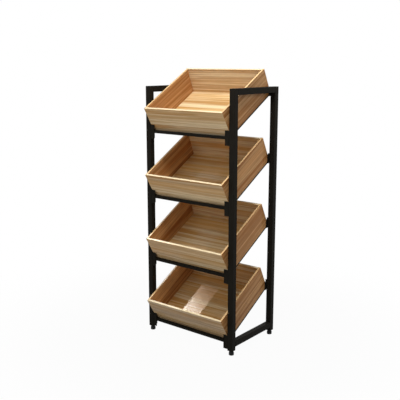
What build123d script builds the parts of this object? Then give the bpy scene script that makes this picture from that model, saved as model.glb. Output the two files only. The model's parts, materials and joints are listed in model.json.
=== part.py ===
from build123d import *
import os
from math import atan, cos, radians, sin, tan

# Produce display stand: two welded side frames of square tube, joined at every tier by a front and a
# rear cross rail, which two side bars link, with a wooden crate tilted forwards on them. Millimetres,
# +Z up. The origin is on the floor, under the middle of the whole stand, and -Y is the front.

# Side frames
stand_width = 600.0
frame_depth = 400.0
upright_length = 1380.0
tube_size = 32.0
tube_wall = 1.5
tube_corner = 2.5
bottom_rail_lift = 19.0
plate_thickness = 3.0
plate_clearance = 0.05

# Tiers, counted from the floor
tiers = ("bottom", "lower", "upper", "top")
bottom_tier_lift = 54.0
top_margin = 1.0
tilt = 30.0

# Cross rails, of rectangular tube at the front and of angle at the rear, with an angle cleat at each end
front_rail_depth = 30.0
front_rail_height = 15.0
front_rail_wall = 1.5
front_rail_corner = 2.0
rear_rail_depth = 40.0
rear_rail_rise = 30.0
rear_rail_thickness = 3.0
rear_rail_round = 1.0
cleat_width = 26.0
cleat_thickness = 3.0
angle_bend = 3.0
front_cleat_height = 76.0
front_cleat_rise = 30.0
rear_cleat_height = 50.0
rear_cleat_rise = 43.0
rear_cleat_depth = 45.0

# Side bars, of flat bar
side_bar_width = 20.0
side_bar_thickness = 6.0
side_bar_set_back = 4.0

# Countersunk screws, two to a cleat
screw_diameter = 5.0
screw_head_diameter = 9.6
screw_length = 10.0
screw_socket = 3.0
screw_socket_depth = 1.6
screw_clearance = 0.15
thread_clearance = 0.05

# Crates of solid boards, mitred at the front corners, with the rear wall set between the side walls
crate_height = 142.0
rear_bearing = 9.3
front_lean = 4.0
rear_lean = 18.0
side_overrun = 10.0
board = 12.0
floor_board = 6.0
rim_round = 1.5
crate_side_gap = 1.0
seat_gap = 0.3

# Levelling feet
glide_diameter = 28.0
glide_height = 17.0
glide_edge = 1.5
glide_side = 14.0
glide_floor = 4.0
collar_across = 22.0
collar_height = 8.0
stem_diameter = 10.0
stem_reach = 40.0
stem_chamfer = 1.0
stem_clearance = 0.1
plug_length = 18.0
plug_clearance = 0.1
foot_gap = 0.3

# Directions of a tilted crate: up along its floor, and square to its floor
tilt_angle = radians(tilt)
floor_way = Vector(0, cos(tilt_angle), sin(tilt_angle))
lift_way = Vector(0, -sin(tilt_angle), cos(tilt_angle))

# Places across the stand
upright_x = stand_width / 2 - tube_size / 2
inner_face_x = stand_width / 2 - tube_size
cleat_face_x = inner_face_x - cleat_thickness
crate_half = cleat_face_x - crate_side_gap

# A crate leans with its front wall against the upper edges of the front cleats
rim_forward = crate_height * sin(tilt_angle) + front_lean * cos(tilt_angle)
rim_upward = crate_height * cos(tilt_angle) - front_lean * sin(tilt_angle)
wall_slope = rim_forward / rim_upward
seat_set_back = cleat_thickness + seat_gap + (front_cleat_rise - seat_gap) * wall_slope

# Places from front to back: the side frames stand behind the middle, as the crates reach forwards
crate_overhang = rim_forward - seat_set_back
frame_y = crate_overhang / 2
front_y = frame_y - frame_depth / 2
back_y = frame_y + frame_depth / 2
seat_y = front_y + seat_set_back

# The cleats are flush with the uprights, and the rails stand against the inner faces of the cleats
cleat_y = {-1: front_y, 1: back_y}
front_rail_y = front_y + cleat_thickness + front_rail_depth / 2
rear_rail_back = back_y - cleat_thickness
rear_rail_edge = rear_rail_back - rear_rail_depth

# A crate's floor lies on the rounded front edge of the rear rail, and runs past that edge by its bearing
crate_length = (rear_rail_edge + rear_bearing - seat_y) / cos(tilt_angle)
edge_climb = (rear_rail_edge + rear_rail_round - seat_y) * tan(tilt_angle)
rear_rail_lift = seat_gap + edge_climb + rear_rail_round - (rear_rail_round + seat_gap) / cos(tilt_angle)

# How far the cleats reach above and below the surfaces of their rails that carry the crates, and along the
# inner sides of the uprights: at the rear past the upright, to the end of the side bar
cleat_above = {-1: front_cleat_rise, 1: rear_cleat_rise}
cleat_below = {-1: front_cleat_height - front_cleat_rise, 1: rear_cleat_height - rear_cleat_rise}
cleat_depth = {-1: tube_size, 1: rear_cleat_depth}

# Places up the stand
upright_base = glide_height + collar_height + foot_gap
upright_top = upright_base + upright_length

# The tiers share the height between the lowest one and the uppermost rear cleats
top_tier_lift = upright_length - top_margin - rear_cleat_rise - rear_rail_lift
tier_pitch = (top_tier_lift - bottom_tier_lift) / (len(tiers) - 1)


def rail_top(end, tier):
    front_top = upright_base + bottom_tier_lift + tier * tier_pitch
    return front_top if end < 0 else front_top + rear_rail_lift


def seat_z(tier):
    return rail_top(-1, tier) + seat_gap


def screw_planes(side, end, tier, face_x):
    # midway across the leg's seat on the upright: at the front one screw is above the rail and one below
    # it, at the rear both are above
    upright_edge = frame_y + end * (frame_depth / 2 - tube_size)
    screw_y = (upright_edge + cleat_y[end] - end * cleat_thickness) / 2
    if end < 0:
        steps = (cleat_above[end] / 2, -(cleat_below[end] + front_rail_height) / 2)
    else:
        steps = (cleat_above[end] / 4, cleat_above[end] * 3 / 4)
    places = [(side * face_x, screw_y, rail_top(end, tier) + step) for step in steps]
    return [Plane(origin=place, x_dir=(0, 1, 0), z_dir=(-side, 0, 0)) for place in places]


def save(part, name):
    part.label = name
    export_step(part, f"parts/{name}.step")


os.makedirs("parts", exist_ok=True)
sides = {"left": -1, "right": 1}
ends = {"front": -1, "rear": 1}
corners = [(side, end) for side in sides.values() for end in ends.values()]


def upright_centre(side, end):
    return (side * upright_x, frame_y + end * (frame_depth / 2 - tube_size / 2))


def tube_section(size_x, size_y, corner, wall):
    RectangleRounded(size_x, size_y, corner)
    RectangleRounded(size_x - 2 * wall, size_y - 2 * wall, corner - wall, mode=Mode.SUBTRACT)


# Uprights, full height, with a row of screw holes in the inner side
for side_name, side in sides.items():
    for end_name, end in ends.items():
        with BuildPart() as upright:
            with BuildSketch(Plane.XY.offset(upright_base)):
                with Locations(upright_centre(side, end)):
                    tube_section(tube_size, tube_size, tube_corner, tube_wall)
            extrude(amount=upright_length)
            for tier in range(len(tiers)):
                with Locations(*screw_planes(side, end, tier, inner_face_x)):
                    Hole(screw_diameter / 2 + thread_clearance, depth=2 * tube_wall)
        save(upright.part, f"{side_name}_{end_name}_upright")

# Top and bottom rails of the side frames, between the uprights
side_rail_length = frame_depth - 2 * tube_size
side_rail_levels = {
    "top": upright_top - tube_size / 2,
    "bottom": upright_base + bottom_rail_lift + tube_size / 2,
}
for side_name, side in sides.items():
    for level_name, level in side_rail_levels.items():
        with BuildPart() as side_rail:
            start = (side * upright_x, front_y + tube_size, level)
            with BuildSketch(Plane(origin=start, x_dir=(1, 0, 0), z_dir=(0, 1, 0))):
                tube_section(tube_size, tube_size, tube_corner, tube_wall)
            extrude(amount=side_rail_length)
        save(side_rail.part, f"{side_name}_{level_name}_rail")

# Plates that close the upper ends of the uprights, flush with the tube
plate_size = tube_size - 2 * tube_wall - 2 * plate_clearance
with BuildPart() as top_plates:
    with BuildSketch(Plane.XY.offset(upright_top - plate_thickness)):
        with Locations(*[upright_centre(side, end) for side, end in corners]):
            RectangleRounded(plate_size, plate_size, tube_corner - tube_wall)
    extrude(amount=plate_thickness)
save(top_plates.part, "top_plates")

# Cross rails, from cleat to cleat: a tube under the front of each crate, and an angle under its rear
rear_rail_outline = [
    (rear_rail_depth, -rear_rail_thickness),
    (0, -rear_rail_thickness),
    (0, 0),
    (rear_rail_depth - rear_rail_thickness, 0),
    (rear_rail_depth - rear_rail_thickness, rear_rail_rise - rear_rail_thickness),
    (rear_rail_depth, rear_rail_rise - rear_rail_thickness),
]
for tier, tier_name in enumerate(tiers):
    with BuildPart() as front_rail:
        middle = (0, front_rail_y, rail_top(-1, tier) - front_rail_height / 2)
        with BuildSketch(Plane(origin=middle, x_dir=(0, 1, 0), z_dir=(1, 0, 0))):
            tube_section(front_rail_depth, front_rail_height, front_rail_corner, front_rail_wall)
        extrude(amount=cleat_face_x, both=True)
    save(front_rail.part, f"front_rail_{tier_name}")

    with BuildPart() as rear_rail:
        edge = (0, rear_rail_edge, rail_top(1, tier))
        with BuildSketch(Plane(origin=edge, x_dir=(0, 1, 0), z_dir=(1, 0, 0))) as section:
            with BuildLine():
                Polyline(*rear_rail_outline, close=True)
            make_face()
            fillet(section.vertices().sort_by_distance(rear_rail_outline[0])[0], radius=angle_bend)
            fillet(section.vertices().sort_by_distance(rear_rail_outline[2])[0], radius=rear_rail_round)
        extrude(amount=cleat_face_x, both=True)
    save(rear_rail.part, f"rear_rail_{tier_name}")



def floor_height(tier, y, below):
    # how high the line runs that is parallel to a crate's floor and so far below it
    return seat_z(tier) + (y - seat_y) * tan(tilt_angle) - below / cos(tilt_angle)


# Side bars, close under a crate's side walls: cut level to lie on the front rail, and upright to meet the
# edge of the rear one, with the outer side against the cleats
bar_low = seat_gap + side_bar_thickness
bar_start = seat_y + side_bar_set_back
bar_heel = seat_y + (bar_low / cos(tilt_angle) - seat_gap) / tan(tilt_angle)
for side_name, side in sides.items():
    with BuildPart() as side_bars:
        for tier in range(len(tiers)):
            bar_outline = [
                (bar_start, rail_top(-1, tier)),
                (bar_heel, rail_top(-1, tier)),
                (rear_rail_edge, floor_height(tier, rear_rail_edge, bar_low)),
                (rear_rail_edge, floor_height(tier, rear_rail_edge, seat_gap)),
                (bar_start, floor_height(tier, bar_start, seat_gap)),
            ]
            with BuildSketch(Plane(origin=(side * cleat_face_x, 0, 0), x_dir=(0, 1, 0), z_dir=(1, 0, 0))):
                with BuildLine():
                    Polyline(*bar_outline, close=True)
                make_face()
            extrude(amount=-side * side_bar_width)
    save(side_bars.part, f"{side_name}_side_bars")

# Angle cleats: one leg against the upright, the other across the end of the rail
for side_name, side in sides.items():
    for end_name, end in ends.items():
        outer_y = cleat_y[end]
        outline = [
            (side * inner_face_x, outer_y),
            (side * (inner_face_x - cleat_width), outer_y),
            (side * (inner_face_x - cleat_width), outer_y - end * cleat_thickness),
            (side * cleat_face_x, outer_y - end * cleat_thickness),
            (side * cleat_face_x, outer_y - end * cleat_depth[end]),
            (side * inner_face_x, outer_y - end * cleat_depth[end]),
        ]
        with BuildPart() as cleats:
            for tier in range(len(tiers)):
                with BuildSketch(Plane.XY.offset(rail_top(end, tier) - cleat_below[end])) as section:
                    with BuildLine():
                        Polyline(*outline, close=True)
                    make_face()
                    fillet(section.vertices().sort_by_distance(outline[0])[0], radius=angle_bend)
                extrude(amount=cleat_below[end] + cleat_above[end])
                with Locations(*screw_planes(side, end, tier, cleat_face_x)):
                    CounterSinkHole(
                        radius=screw_diameter / 2 + screw_clearance,
                        counter_sink_radius=screw_head_diameter / 2 + screw_clearance,
                        depth=cleat_thickness,
                        counter_sink_angle=90,
                    )
        save(cleats.part, f"{side_name}_{end_name}_cleats")

# Countersunk screws, flush with the cleats so that the crates slide past them
screw_places = []
for side, end in corners:
    for tier in range(len(tiers)):
        screw_places += screw_planes(side, end, tier, cleat_face_x)
head_depth = (screw_head_diameter - screw_diameter) / 2
sunk = (Align.CENTER, Align.CENTER, Align.MAX)
with BuildPart() as cleat_screws:
    with Locations(*screw_places):
        Cylinder(screw_diameter / 2, screw_length, align=sunk)
        Cone(screw_diameter / 2, screw_head_diameter / 2, head_depth, align=sunk)
    for place in screw_places:
        with BuildSketch(place):
            RegularPolygon(screw_socket / 2, 6, major_radius=False)
    extrude(amount=-screw_socket_depth, mode=Mode.SUBTRACT)
save(cleat_screws.part, "cleat_screws")


def crate_point(tier, across, along, above):
    return Vector(across, seat_y, seat_z(tier)) + floor_way * along + lift_way * above


# Each end wall: where its foot stands along the floor, how far its rim leans out, and its thickness there
wall_foot = {-1: 0.0, 1: crate_length}
wall_lean = {-1: front_lean, 1: rear_lean}
board_run = {end: board / cos(atan(lean / crate_height)) for end, lean in wall_lean.items()}


def end_wall_line(end, inset, above):
    return wall_foot[end] + end * (wall_lean[end] * above / crate_height - inset)


def mitre(tier, side):
    # the plane of a front corner's joint, looking out of the crate's front
    outer_low = crate_point(tier, side * crate_half, end_wall_line(-1, 0, 0), 0)
    outer_high = crate_point(tier, side * crate_half, end_wall_line(-1, 0, crate_height), crate_height)
    inner_low = crate_point(tier, side * (crate_half - board), end_wall_line(-1, board_run[-1], 0), 0)
    outward = (outer_high - outer_low).cross(inner_low - outer_low) * side
    return Plane(origin=outer_low, x_dir=outer_high - outer_low, z_dir=outward)


def rear_cut(tier):
    # the plane of the side walls' rear ends: flush with the rear wall at its rim, and past its foot below
    low = crate_point(tier, 0, crate_length + side_overrun, 0)
    high = crate_point(tier, 0, end_wall_line(1, 0, crate_height), crate_height)
    return Plane(origin=low, x_dir=(1, 0, 0), z_dir=(high - low).cross(Vector(1, 0, 0)))


for tier, tier_name in enumerate(tiers):
    profile_plane = Plane(origin=crate_point(tier, 0, 0, 0), x_dir=floor_way, z_dir=(1, 0, 0))

    # Front and rear walls, leaning out from the floor; the front wall is mitred, the rear one square
    for end_name, end in ends.items():
        wall_outline = [
            (end_wall_line(end, 0, 0), 0),
            (end_wall_line(end, board_run[end], 0), 0),
            (end_wall_line(end, board_run[end], crate_height), crate_height),
            (end_wall_line(end, 0, crate_height), crate_height),
        ]
        with BuildPart() as end_wall:
            with BuildSketch(profile_plane) as wall_profile:
                with BuildLine():
                    Polyline(*wall_outline, close=True)
                make_face()
                fillet(wall_profile.vertices().group_by(Axis.Y)[-1], radius=rim_round)
            extrude(amount=crate_half if end < 0 else crate_half - board, both=True)
            if end < 0:
                for side in sides.values():
                    split(bisect_by=mitre(tier, side), keep=Keep.TOP)
        save(end_wall.part, f"crate_{tier_name}_{end_name}")

    # Side walls, square to the floor
    rear_end = max(end_wall_line(1, 0, crate_height), crate_length + side_overrun)
    for side_name, side in sides.items():
        wall_middle = crate_point(tier, side * (crate_half - board / 2), rear_end, crate_height / 2)
        wall_plane = Plane(origin=wall_middle, x_dir=(1, 0, 0), z_dir=floor_way * -1)
        with BuildPart() as side_wall:
            with BuildSketch(wall_plane) as wall_profile:
                Rectangle(board, crate_height)
                fillet(wall_profile.vertices().group_by(Axis.Y)[-1], radius=rim_round)
            extrude(amount=rear_end - end_wall_line(-1, 0, crate_height))
            for cut in (mitre(tier, side), rear_cut(tier)):
                split(bisect_by=cut, keep=Keep.BOTTOM)
        save(side_wall.part, f"crate_{tier_name}_{side_name}")

    # Floor, between the four walls and flush with their lower edges
    floor_outline = [
        (end_wall_line(-1, board_run[-1], 0), 0),
        (end_wall_line(1, board_run[1], 0), 0),
        (end_wall_line(1, board_run[1], floor_board), floor_board),
        (end_wall_line(-1, board_run[-1], floor_board), floor_board),
    ]
    with BuildPart() as crate_floor:
        with BuildSketch(profile_plane):
            with BuildLine():
                Polyline(*floor_outline, close=True)
            make_face()
        extrude(amount=crate_half - board, both=True)
    save(crate_floor.part, f"crate_{tier_name}_floor")

# Plugs in the lower ends of the uprights, bored for the feet
plug_size = tube_size - 2 * tube_wall - 2 * plug_clearance
with BuildPart() as foot_plugs:
    with BuildSketch(Plane.XY.offset(upright_base)):
        with Locations(*[upright_centre(side, end) for side, end in corners]):
            RectangleRounded(plug_size, plug_size, tube_corner - tube_wall)
            Circle(stem_diameter / 2 + stem_clearance, mode=Mode.SUBTRACT)
    extrude(amount=plug_length)
save(foot_plugs.part, "foot_plugs")

# Levelling feet: a threaded stem with a hexagon collar, moulded into a round glide
bore_radius = stem_diameter / 2 + thread_clearance
glide_outline = [
    (0, 0),
    (glide_diameter / 2 - glide_edge, 0),
    (glide_diameter / 2, glide_edge),
    (glide_diameter / 2, glide_side),
    (collar_across / 2 + glide_edge, glide_height),
    (bore_radius, glide_height),
    (bore_radius, glide_floor),
    (0, glide_floor),
]
for side_name, side in sides.items():
    for end_name, end in ends.items():
        foot_x, foot_y = upright_centre(side, end)
        with BuildPart() as stem:
            with BuildSketch(Plane.XY.offset(glide_floor)):
                with Locations((foot_x, foot_y)):
                    Circle(stem_diameter / 2)
            extrude(amount=upright_base + stem_reach - glide_floor)
            chamfer(stem.faces().sort_by(Axis.Z)[-1].edges(), length=stem_chamfer)
            with BuildSketch(Plane.XY.offset(glide_height)):
                with Locations((foot_x, foot_y)):
                    RegularPolygon(collar_across / 2, 6, major_radius=False)
            extrude(amount=collar_height)
        save(stem.part, f"foot_{end_name}_{side_name}_stem")

        with BuildPart() as glide:
            with BuildSketch(Plane(origin=(foot_x, foot_y, 0), x_dir=(1, 0, 0), z_dir=(0, -1, 0))):
                with BuildLine():
                    Polyline(*glide_outline, close=True)
                make_face()
            revolve(axis=Axis((foot_x, foot_y, 0), (0, 0, 1)))
        save(glide.part, f"foot_{end_name}_{side_name}_glide")
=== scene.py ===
import json
from math import atan2, ceil, cos, pi, radians

import bmesh
import bpy
from mathutils import Matrix, Vector


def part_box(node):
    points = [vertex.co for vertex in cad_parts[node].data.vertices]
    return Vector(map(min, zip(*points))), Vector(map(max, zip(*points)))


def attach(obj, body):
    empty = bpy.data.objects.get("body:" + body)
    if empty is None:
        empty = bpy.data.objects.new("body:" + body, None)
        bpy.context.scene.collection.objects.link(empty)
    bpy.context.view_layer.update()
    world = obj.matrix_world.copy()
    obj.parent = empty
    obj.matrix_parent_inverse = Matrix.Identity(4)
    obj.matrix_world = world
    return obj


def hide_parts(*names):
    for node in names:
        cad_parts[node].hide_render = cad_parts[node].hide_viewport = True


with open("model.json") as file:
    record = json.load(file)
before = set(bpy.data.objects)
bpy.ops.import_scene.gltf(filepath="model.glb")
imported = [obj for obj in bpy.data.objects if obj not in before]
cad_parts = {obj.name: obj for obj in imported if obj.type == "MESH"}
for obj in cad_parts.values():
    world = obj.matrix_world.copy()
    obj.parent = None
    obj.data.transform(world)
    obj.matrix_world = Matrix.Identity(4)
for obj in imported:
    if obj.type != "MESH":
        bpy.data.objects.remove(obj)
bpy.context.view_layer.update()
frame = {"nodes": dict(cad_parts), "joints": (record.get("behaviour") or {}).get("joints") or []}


# Side frames: uprights, top rails and bottom rails of 32 mm square steel tube, butt welded and ground flush,
# with plates welded into the uprights' upper ends. Each frame is sprayed with powder and baked as one piece.
sides = ("left", "right")
ends = ("front", "rear")
tubes = ("front_upright", "rear_upright", "top_rail", "bottom_rail")


def linear(colour):
    shares = [int(colour[start:start + 2], 16) / 255 for start in (1, 3, 5)]
    light = [share / 12.92 if share <= 0.04045 else ((share + 0.055) / 1.055) ** 2.4 for share in shares]
    return light + [1.0]


def add_node(material, kind, inputs, **settings):
    # Shader means the material's own Principled shader, and an input is a value or another node's socket
    tree = material.node_tree
    made = tree.nodes.get("Principled BSDF") if kind == "Shader" else tree.nodes.new("ShaderNode" + kind)
    for name, value in settings.items():
        setattr(made, name, value)
    for socket, value in inputs.items():
        if isinstance(value, bpy.types.NodeSocket):
            tree.links.new(value, made.inputs[socket])
        else:
            made.inputs[socket].default_value = value
    return made


def new_material(name):
    material = bpy.data.materials.new(name)
    material.use_nodes = True
    return material


def dress(names, material):
    for name in names:
        for slot in frame["nodes"][name].material_slots:
            slot.material = material


# Baked black powder coat is satin and a little uneven: fine orange peel breaks up its reflections, and
# thicker and thinner patches change its gloss. Real peel is about 1 mm, drawn at 2.5 mm so that it shows.
peel_size = 0.0025
patch_size = 0.07
powder_coat = new_material("satin_black_powder_coat")
coat_place = add_node(powder_coat, "TexCoord", {}).outputs["Object"]
coat_patch = add_node(powder_coat, "TexNoise", {"Vector": coat_place, "Scale": 1 / patch_size, "Detail": 3.0})
coat_peel = add_node(powder_coat, "TexNoise", {"Vector": coat_place, "Scale": 1 / peel_size, "Detail": 1.0})
coat_colour = add_node(powder_coat, "Mix", {
    "Factor": coat_patch.outputs["Fac"], "A": linear("#1d1b17"), "B": linear("#25221d"),
}, data_type="RGBA")
coat_gloss = add_node(powder_coat, "MapRange", {
    "Value": coat_patch.outputs["Fac"], "From Min": 0.3, "From Max": 0.7, "To Min": 0.40, "To Max": 0.52,
})
coat_bump = add_node(powder_coat, "Bump", {
    "Height": coat_peel.outputs["Fac"], "Strength": 0.12, "Distance": 0.0003,
})
add_node(powder_coat, "Shader", {
    "Base Color": coat_colour.outputs["Result"], "Roughness": coat_gloss.outputs["Result"],
    "Normal": coat_bump.outputs["Normal"], "Specular IOR Level": 0.02,
})
dress([f"{side}_{tube}" for side in sides for tube in tubes], powder_coat)
dress(["top_plates"], powder_coat)


# Cross rails, side bars and cleats: to each tier a front rail of 30 by 15 mm tube and a rear rail of 40 by
# 30 mm angle, each welded between two cleats bent from 3 mm sheet, with a tilted 20 by 6 mm bar under each
# side of the crate. Each tier is coated like the side frames and screwed to them.
tiers = ("bottom", "lower", "upper", "top")
dress([f"{end}_rail_{tier}" for end in ends for tier in tiers], powder_coat)
for side in sides:
    dress([f"{side}_side_bars", f"{side}_front_cleats", f"{side}_rear_cleats"], powder_coat)


# Cleat screws: countersunk M5 screws of hardened steel with a hexagon socket, two to a cleat, flush with it.
# Black zinc is a thin chromate film, a little shinier than powder coat and faintly mottled by the bath.
mottle_size = 0.004
black_zinc = new_material("black_zinc_plated_steel")
zinc_place = add_node(black_zinc, "TexCoord", {}).outputs["Object"]
zinc_mottle = add_node(black_zinc, "TexNoise", {
    "Vector": zinc_place, "Scale": 1 / mottle_size, "Detail": 2.0,
})
zinc_colour = add_node(black_zinc, "Mix", {
    "Factor": zinc_mottle.outputs["Fac"], "A": linear("#121213"), "B": linear("#1f1f21"),
}, data_type="RGBA")
zinc_gloss = add_node(black_zinc, "MapRange", {
    "Value": zinc_mottle.outputs["Fac"], "To Min": 0.26, "To Max": 0.42,
})
add_node(black_zinc, "Shader", {
    "Base Color": zinc_colour.outputs["Result"], "Roughness": zinc_gloss.outputs["Result"], "Metallic": 0.6,
    "Specular IOR Level": 0.2,
})
dress(["cleat_screws"], black_zinc)


# Crates: a floor and four walls of edge-glued pine strips, mitred at the front corners, with the rear wall
# glued in between the sides. All but the undersides is lacquered, and the rims are sanded back to pale wood,
# made paler still by a painted highlight. Each crate stands tilted on a front rail, a rear rail and two side
# bars, and lifts off.
lift_axis = next(joint["axis"] for joint in frame["joints"] if joint["name"] == "crate_top_lift")
crate_tilt = atan2(-lift_axis[1], lift_axis[2])


# Lacquered pine gives glued strips of different tone, long streaks of early and late wood that follow each
# strip, fine fibres, hairline glue joints and a clear skin that mirrors bright things. Undersides are left
# raw and matt. Real fibres and glue joints are far finer, and are drawn as coarse as they need to show.
def lacquered_pine(name, along, across, through, pale, dark, warm, rim_sanded_and_lit, roughness):
    strip_width, glue_line = 0.034, 0.0005
    streak_length, streak_width = 0.60, 0.018
    ring_width, fibre_length, fibre_width = 0.012, 0.05, 0.0011
    own_tone, ring_tone, warm_tone = 0.45, 0.38, 0.60
    board_shift, strip_shift = 97.0, 40.0
    wave_period = 0.1 * pi
    pine = new_material(name)
    coords = add_node(pine, "TexCoord", {})
    turned = add_node(pine, "Mapping", {"Vector": coords.outputs["Object"], "Rotation": (-crate_tilt, 0, 0)})
    axes = add_node(pine, "SeparateXYZ", {"Vector": turned.outputs["Vector"]})
    board = add_node(pine, "ObjectInfo", {}).outputs["Random"]

    # each board has its own row of strips, and each strip its own tone and its own stretch of grain
    strips = add_node(pine, "Math", {0: axes.outputs[across], 1: 1 / strip_width}, operation="MULTIPLY")
    shifted = add_node(pine, "Math", {0: board, 1: board_shift, 2: strips.outputs[0]},
                       operation="MULTIPLY_ADD")
    strip = add_node(pine, "Math", {0: shifted.outputs[0]}, operation="FLOOR")
    lot = add_node(pine, "TexWhiteNoise", {"W": strip.outputs[0]}, noise_dimensions="1D")
    lots = add_node(pine, "SeparateColor", {"Color": lot.outputs["Color"]})
    start = add_node(pine, "Math", {0: lot.outputs["Value"], 1: strip_shift, 2: axes.outputs[along]},
                     operation="MULTIPLY_ADD")
    grain = add_node(pine, "CombineXYZ", {
        "X": start.outputs[0], "Y": axes.outputs[across], "Z": axes.outputs[through],
    })

    # streaks, year rings and fibres, all drawn out along the grain
    streak_scale = (1 / streak_length, 1 / streak_width, 1 / streak_width)
    streak_place = add_node(pine, "VectorMath", {0: grain.outputs[0], 1: streak_scale}, operation="MULTIPLY")
    streaks = add_node(pine, "TexNoise", {
        "Vector": streak_place.outputs[0], "Scale": 1.0, "Detail": 2.0, "Roughness": 0.5, "Distortion": 0.3,
    })
    ring_scale = (0.5 / streak_length, wave_period / ring_width, wave_period / ring_width)
    ring_place = add_node(pine, "VectorMath", {0: grain.outputs[0], 1: ring_scale}, operation="MULTIPLY")
    rings = add_node(pine, "TexWave", {
        "Vector": ring_place.outputs[0], "Scale": 1.0, "Distortion": 5.0, "Detail": 2.0, "Detail Scale": 0.4,
    }, wave_type="BANDS", bands_direction="Y", wave_profile="SAW")
    fibre_scale = (1 / fibre_length, 1 / fibre_width, 1 / fibre_width)
    fibre_place = add_node(pine, "VectorMath", {0: grain.outputs[0], 1: fibre_scale}, operation="MULTIPLY")
    fibres = add_node(pine, "TexNoise", {"Vector": fibre_place.outputs[0], "Scale": 1.0, "Detail": 2.0})

    # the colour of the wood, from pale early wood to dark late wood, warmer in some strips
    streak_share = add_node(pine, "MapRange", {
        "Value": streaks.outputs["Fac"], "From Min": 0.38, "From Max": 0.62,
    }, interpolation_type="SMOOTHSTEP")
    late_share = add_node(pine, "Mix", {
        "Factor": own_tone, "A": streak_share.outputs["Result"], "B": lot.outputs["Value"],
    })
    wood = add_node(pine, "Mix", {
        "Factor": late_share.outputs["Result"], "A": linear(pale), "B": linear(dark),
    }, data_type="RGBA")
    ring_share = add_node(pine, "MapRange", {"Value": rings.outputs["Fac"], "To Max": ring_tone})
    ringed = add_node(pine, "Mix", {
        "Factor": ring_share.outputs["Result"], "A": wood.outputs["Result"], "B": linear(dark),
    }, data_type="RGBA")
    warm_share = add_node(pine, "MapRange", {
        "Value": lots.outputs["Green"], "From Min": 0.2, "To Max": warm_tone,
    })
    toned = add_node(pine, "Mix", {
        "Factor": warm_share.outputs["Result"], "A": ringed.outputs["Result"], "B": linear(warm),
    }, data_type="RGBA")

    # fibres and glue joints shade it, and the rim, which faces straight up out of the crate, is paler
    fibre_share = add_node(pine, "MapRange", {
        "Value": fibres.outputs["Fac"], "From Min": 0.3, "From Max": 0.7, "To Min": 0.86, "To Max": 1.08,
    })
    within = add_node(pine, "Math", {0: shifted.outputs[0]}, operation="FRACT")
    from_joint = add_node(pine, "Math", {0: within.outputs[0], 1: 0.5}, operation="PINGPONG")
    joint_shade = add_node(pine, "MapRange", {
        "Value": from_joint.outputs[0], "From Max": glue_line / strip_width, "To Min": 0.72,
    })
    shade = add_node(pine, "Math", {0: fibre_share.outputs["Result"], 1: joint_shade.outputs["Result"]},
                     operation="MULTIPLY")
    shaded = add_node(pine, "VectorMath", {0: toned.outputs["Result"], "Scale": shade.outputs[0]},
                      operation="SCALE")
    colour = shaded.outputs[0]
    facing = add_node(pine, "VectorMath", {0: coords.outputs["Normal"], 1: lift_axis},
                      operation="DOT_PRODUCT")
    # the rim's paler colour is partly sanded wood and partly a painted highlight for the light falling on it
    # from above
    if rim_sanded_and_lit:
        rim_highlight_share = add_node(pine, "MapRange", {
            "Value": facing.outputs["Value"], "From Min": 0.80, "From Max": 0.97, "To Max": 0.90,
        })
        rim_highlighted = add_node(pine, "Mix", {
            "Factor": rim_highlight_share.outputs["Result"], "A": colour, "B": linear(rim_sanded_and_lit),
        }, data_type="RGBA")
        colour = rim_highlighted.outputs["Result"]

    # the lacquer's gloss varies a little with the wood under it, and raw undersides are much rougher
    gloss = add_node(pine, "MapRange", {
        "Value": streaks.outputs["Fac"], "To Min": roughness - 0.015, "To Max": roughness + 0.015,
    })
    raw_share = add_node(pine, "MapRange", {
        "Value": facing.outputs["Value"], "From Min": -0.9, "From Max": -0.7, "To Min": 0.5, "To Max": 0.0,
    })
    skin = add_node(pine, "Math", {0: gloss.outputs["Result"], 1: raw_share.outputs["Result"]},
                    operation="ADD")
    relief = add_node(pine, "Bump", {"Height": fibres.outputs["Fac"], "Strength": 0.02, "Distance": 0.0003})
    add_node(pine, "Shader", {
        "Base Color": colour, "Roughness": skin.outputs[0], "Normal": relief.outputs["Normal"],
        "Specular IOR Level": 0.08,
    })
    return pine


# The side walls' pine has darker colours than the end walls' and floors': painted shade, standing for the
# weaker light that falls on the side walls.
end_pine = lacquered_pine(
    "lacquered_pine_end_walls", along="X", across="Z", through="Y",
    pale="#ffeec8", dark="#bd8a50", warm="#e2b06a", rim_sanded_and_lit="#ffecc4", roughness=0.18)
side_pine_painted_shade = lacquered_pine(
    "lacquered_pine_side_walls_painted_shade", along="Y", across="Z", through="X",
    pale="#e6b67e", dark="#976032", warm="#bd8048", rim_sanded_and_lit="#f0cb94", roughness=0.18)
floor_pine = lacquered_pine(
    "lacquered_pine_floors", along="X", across="Y", through="Z",
    pale="#fff0c6", dark="#c08c4a", warm="#e4b060", rim_sanded_and_lit=None, roughness=0.05)
for tier in tiers:
    dress([f"crate_{tier}_front", f"crate_{tier}_rear"], end_pine)
    dress([f"crate_{tier}_left", f"crate_{tier}_right"], side_pine_painted_shade)
    dress([f"crate_{tier}_floor"], floor_pine)


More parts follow.
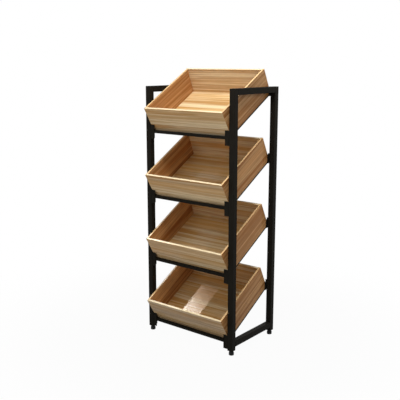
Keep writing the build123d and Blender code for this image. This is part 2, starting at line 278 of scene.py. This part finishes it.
# Foot plugs: square moulded plugs of black polyethylene, knocked into the lower ends of the uprights, with a
# bore for the foot's thread. Moulded plastic is dull and waxy, with a fine spark-eroded grain. Real grain is
# about 0.1 mm, drawn at about 1 mm so that it shows.
def moulded_black(name, pale, dark, grain, roughness):
    plastic = new_material(name)
    place = add_node(plastic, "TexCoord", {}).outputs["Object"]
    pits = add_node(plastic, "TexNoise", {"Vector": place, "Scale": 1 / grain, "Detail": 2.0})
    colour = add_node(plastic, "Mix", {
        "Factor": pits.outputs["Fac"], "A": linear(dark), "B": linear(pale),
    }, data_type="RGBA")
    rough = add_node(plastic, "MapRange", {
        "Value": pits.outputs["Fac"], "To Min": roughness - 0.06, "To Max": roughness + 0.06,
    })
    relief = add_node(plastic, "Bump", {"Height": pits.outputs["Fac"], "Strength": 0.2, "Distance": 0.0002})
    add_node(plastic, "Shader", {
        "Base Color": colour.outputs["Result"], "Roughness": rough.outputs["Result"],
        "Normal": relief.outputs["Normal"], "Specular IOR Level": 0.15,
    })
    return plastic


polyethylene = moulded_black(
    "moulded_black_polyethylene", pale="#242424", dark="#161616", grain=0.0012, roughness=0.6)
dress(["foot_plugs"], polyethylene)


# Levelling feet: a steel stem with a rolled M10 thread and a hexagon collar for a spanner, plated black, with
# its lower end moulded into a round nylon glide. The stem screws up into the plug.
stem_radius, stem_chamfer, stem_sides = 0.005, 0.001, 24
thread_pitch, thread_depth = 0.0015, 0.00081
root_flat, crest_flat = thread_pitch / 4, thread_pitch / 8
flank_rise = (thread_pitch - root_flat - crest_flat) / 2
collar_radius = 0.022 / 2 / cos(pi / 6)
collar_bottom, collar_top, collar_edge = 0.017, 0.025, 0.0008
merge_distance, cut_distance = 0.00001, 0.000001
sharp_angle = radians(25)


def add_thread(mesh, bottom, top):
    # one pitch of the thread, wound past both ends, cut square there, capped, and chamfered at the upper end
    start = bottom - 2 * thread_pitch
    turns = ceil((top - start) / thread_pitch) + 1
    root_radius = stem_radius - thread_depth
    crest_start = root_flat + flank_rise
    outline = ((root_radius, 0), (root_radius, root_flat), (stem_radius, crest_start),
               (stem_radius, crest_start + crest_flat), (root_radius, thread_pitch))
    points = [mesh.verts.new((radius, 0, start + rise)) for radius, rise in outline]
    edges = [mesh.edges.new(pair) for pair in zip(points, points[1:])]
    bmesh.ops.spin(mesh, geom=points + edges, cent=(0, 0, 0), axis=(0, 0, 1), angle=2 * pi * turns,
                   steps=stem_sides * turns, dvec=(0, 0, thread_pitch / stem_sides))
    bmesh.ops.remove_doubles(mesh, verts=mesh.verts, dist=merge_distance)
    for height, outward in ((bottom, -1), (top, 1)):
        whole = mesh.verts[:] + mesh.edges[:] + mesh.faces[:]
        bmesh.ops.bisect_plane(mesh, geom=whole, plane_co=(0, 0, height), plane_no=(0, 0, outward),
                               clear_outer=True, dist=cut_distance)
    bmesh.ops.holes_fill(mesh, edges=[edge for edge in mesh.edges if edge.is_boundary])
    for vert in mesh.verts:
        reach = vert.co.xy.length
        limit = min(stem_radius, stem_radius + top - stem_chamfer - vert.co.z)
        vert.co.xy *= min(1.0, limit / reach)


def add_prism(mesh, corners, radius, bottom, top):
    base = bmesh.ops.create_circle(mesh, cap_ends=True, segments=corners, radius=radius)["verts"]
    bmesh.ops.rotate(mesh, verts=base, matrix=Matrix.Rotation(pi / 2, 3, "Z"))
    bmesh.ops.translate(mesh, verts=base, vec=(0, 0, bottom))
    raised = bmesh.ops.extrude_face_region(mesh, geom=base[0].link_faces[:])["geom"]
    lid = [item for item in raised if isinstance(item, bmesh.types.BMVert)]
    bmesh.ops.translate(mesh, verts=lid, vec=(0, 0, top - bottom))
    return [edge for edge in mesh.edges if edge.verts[0] in base + lid]


def threaded_stem(name, node):
    low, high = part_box(node)
    stem = bmesh.new()
    add_thread(stem, collar_top - collar_edge, high[2])
    add_prism(stem, stem_sides, stem_radius, low[2], collar_bottom + collar_edge)
    collar = add_prism(stem, 6, collar_radius, collar_bottom, collar_top)
    rims = [edge for edge in collar if edge.verts[0].co.z == edge.verts[1].co.z]
    bmesh.ops.bevel(stem, geom=rims, offset=collar_edge, affect="EDGES", segments=2, profile=0.5, material=-1)
    middle = ((low[0] + high[0]) / 2, (low[1] + high[1]) / 2, 0)
    bmesh.ops.translate(stem, verts=stem.verts, vec=middle)
    bmesh.ops.recalc_face_normals(stem, faces=stem.faces)
    for face in stem.faces:
        face.smooth = True
    data = bpy.data.meshes.new(name)
    stem.to_mesh(data)
    stem.free()
    data.set_sharp_from_angle(angle=sharp_angle)
    data.materials.append(black_zinc)
    piece = bpy.data.objects.new(name, data)
    bpy.context.scene.collection.objects.link(piece)
    return piece


nylon = moulded_black("moulded_black_nylon", pale="#232322", dark="#121212", grain=0.0010, roughness=0.5)
for end in ends:
    for side in sides:
        foot = f"foot_{end}_{side}"
        threaded = threaded_stem(f"{foot}_threaded_stem", f"{foot}_stem")
        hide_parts(f"{foot}_stem")
        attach(threaded, foot)
        dress([f"{foot}_glide"], nylon)


# Floor: a plain pale studio floor, matt paint on a level slab. Its own colour is a darker grey near the
# stand, fading to pale by 1.6 m from it: painted shade for the stand's shadow, which also dims the light the
# floor throws back onto the lower crates. To the camera and in reflections it is almost white near the stand,
# where it takes the stand's shadow, and wholly white further off, where it meets the white of the studio.
floor_half = 30.0
floor_drop = 0.0002
glow_near, glow_start, glow_end = 0.965, 0.7, 1.8
shade_start, shade_end = 0.5, 1.6
floor_mesh = bmesh.new()
bmesh.ops.create_grid(floor_mesh, x_segments=1, y_segments=1, size=floor_half)
bmesh.ops.translate(floor_mesh, verts=floor_mesh.verts, vec=(0, 0, -floor_drop))
floor_data = bpy.data.meshes.new("studio_floor")
floor_mesh.to_mesh(floor_data)
floor_mesh.free()
studio_floor = bpy.data.objects.new("studio_floor", floor_data)
bpy.context.scene.collection.objects.link(studio_floor)
floor_paint = new_material("pale_floor_paint")
floor_path = add_node(floor_paint, "LightPath", {})
floor_seen = add_node(floor_paint, "Math", {
    0: floor_path.outputs["Is Camera Ray"], 1: floor_path.outputs["Is Glossy Ray"],
}, operation="MAXIMUM")
floor_shown = add_node(floor_paint, "Math", {
    0: floor_seen.outputs[0], 1: floor_path.outputs["Is Transmission Ray"],
}, operation="MAXIMUM")
floor_place = add_node(floor_paint, "TexCoord", {})
floor_radius = add_node(floor_paint, "VectorMath", {0: floor_place.outputs["Object"]}, operation="LENGTH")
floor_glow = add_node(floor_paint, "MapRange", {
    "Value": floor_radius.outputs["Value"], "From Min": glow_start, "From Max": glow_end, "To Min": glow_near,
}, interpolation_type="SMOOTHSTEP")
floor_share = add_node(floor_paint, "Math", {
    0: floor_shown.outputs[0], 1: floor_glow.outputs["Result"],
}, operation="MULTIPLY")
# painted shade: the floor's own colour is darker grey near the stand, standing for the stand's shadow there
floor_shade_share = add_node(floor_paint, "MapRange", {
    "Value": floor_radius.outputs["Value"], "From Min": shade_start, "From Max": shade_end,
})
floor_shaded_colour = add_node(floor_paint, "Mix", {
    "Factor": floor_shade_share.outputs["Result"], "A": linear("#8c8c8a"), "B": linear("#ececea"),
}, data_type="RGBA")
floor_matt = add_node(floor_paint, "BsdfDiffuse", {"Color": floor_shaded_colour.outputs["Result"]})
floor_white = add_node(floor_paint, "Emission", {"Color": linear("#ffffff"), "Strength": 1.0})
floor_mix = add_node(floor_paint, "MixShader", {
    0: floor_share.outputs[0], 1: floor_matt.outputs[0], 2: floor_white.outputs[0],
})
floor_paint.node_tree.links.new(
    floor_mix.outputs[0], floor_paint.node_tree.nodes["Material Output"].inputs["Surface"])
floor_data.materials.append(floor_paint)


# Light: a white studio that lights the stand evenly at a plain level, two softboxes above it, a wide one in
# front and a reflector behind at the right. A small panel high on the left, which fades from its front left
# corner, shows only in reflections: the lowest crate's lacquer mirrors it under the next crate.
studio = bpy.data.worlds.new("white_studio")
studio.use_nodes = True
bpy.context.scene.world = studio
studio_level = 0.18
studio_path = add_node(studio, "LightPath", {})
studio_seen = add_node(studio, "Math", {
    0: studio_path.outputs["Is Camera Ray"], 1: studio_path.outputs["Is Glossy Ray"],
}, operation="MAXIMUM")
studio_shown = add_node(studio, "Math", {
    0: studio_seen.outputs[0], 1: studio_path.outputs["Is Transmission Ray"],
}, operation="MAXIMUM")
studio_strength = add_node(studio, "MapRange", {"Value": studio_shown.outputs[0], "To Min": studio_level})
studio_sky = studio.node_tree.nodes["Background"]
studio_sky.inputs["Color"].default_value = linear("#ffffff")
studio.node_tree.links.new(studio_strength.outputs["Result"], studio_sky.inputs["Strength"])


def add_softbox(name, place, target, width, height, radiance):
    lamp = bpy.data.lights.new(name, "AREA")
    lamp.shape = "RECTANGLE"
    lamp.size, lamp.size_y = width, height
    lamp.energy = radiance * pi * width * height
    softbox = bpy.data.objects.new(name, lamp)
    softbox.location = place
    softbox.rotation_euler = (Vector(target) - Vector(place)).to_track_quat("-Z", "Y").to_euler()
    softbox.visible_camera = False
    bpy.context.scene.collection.objects.link(softbox)
    return softbox


add_softbox("key_softbox", place=(0.8, -1.0, 3.2), target=(0, -0.1, 1.35),
            width=1.2, height=0.7, radiance=14.5)
add_softbox("top_softbox", place=(0.2, -0.9, 4.6), target=(0, -0.1, 0.8),
            width=2.0, height=1.0, radiance=5.4)
add_softbox("front_softbox", place=(-0.5, -2.8, 2.4), target=(0, 0, 1.2),
            width=4.0, height=2.8, radiance=0.78)
add_softbox("rear_reflector", place=(2.6, 2.2, 2.4), target=(0, 0, 1.3),
            width=2.0, height=1.0, radiance=4.0)
left_panel = add_softbox("left_panel", place=(-2.39, 0.20, 3.3), target=(-2.39, 0.20, 0),
                         width=0.88, height=0.50, radiance=68.0)
left_panel.visible_diffuse = False
fade_start, fade_middle, fade_end = 0.70, 0.51, 1.56
panel_light = left_panel.data
panel_light.use_nodes = True
panel_place = add_node(panel_light, "NewGeometry", {}).outputs["Parametric"]
panel_axes = add_node(panel_light, "SeparateXYZ", {"Vector": panel_place})
panel_corner = add_node(panel_light, "Math", {
    0: panel_axes.outputs["X"], 1: panel_axes.outputs["Y"],
}, operation="ADD")
panel_share = add_node(panel_light, "MapRange", {
    "Value": panel_corner.outputs[0], "From Min": fade_start, "From Max": fade_end,
})
panel_fade = add_node(panel_light, "ValToRGB", {"Fac": panel_share.outputs["Result"]})
panel_fade.color_ramp.elements[0].color = linear("#fff6ea")
panel_fade.color_ramp.elements[1].color = linear("#413128")
panel_fade.color_ramp.elements.new(fade_middle).color = linear("#9b8876")
panel_light.node_tree.links.new(
    panel_fade.outputs["Color"], panel_light.node_tree.nodes["Emission"].inputs["Color"])


# Camera: at the photograph's viewing angle, solved from the frame's edges there, for a square image. It
# stands to the right in front of the stand and looks a little down.
look_down, look_left = 11.6778, 38.9537
camera_data = bpy.data.cameras.new("camera")
camera_data.sensor_width = 36.0
camera_data.lens = 60.60
camera = bpy.data.objects.new("camera", camera_data)
camera.location = (2.26547, -2.87494, 1.53921)
camera.rotation_euler = (radians(90 - look_down), 0, radians(look_left))
bpy.context.scene.collection.objects.link(camera)
bpy.context.scene.camera = camera
bpy.context.scene.view_settings.view_transform = "Standard"
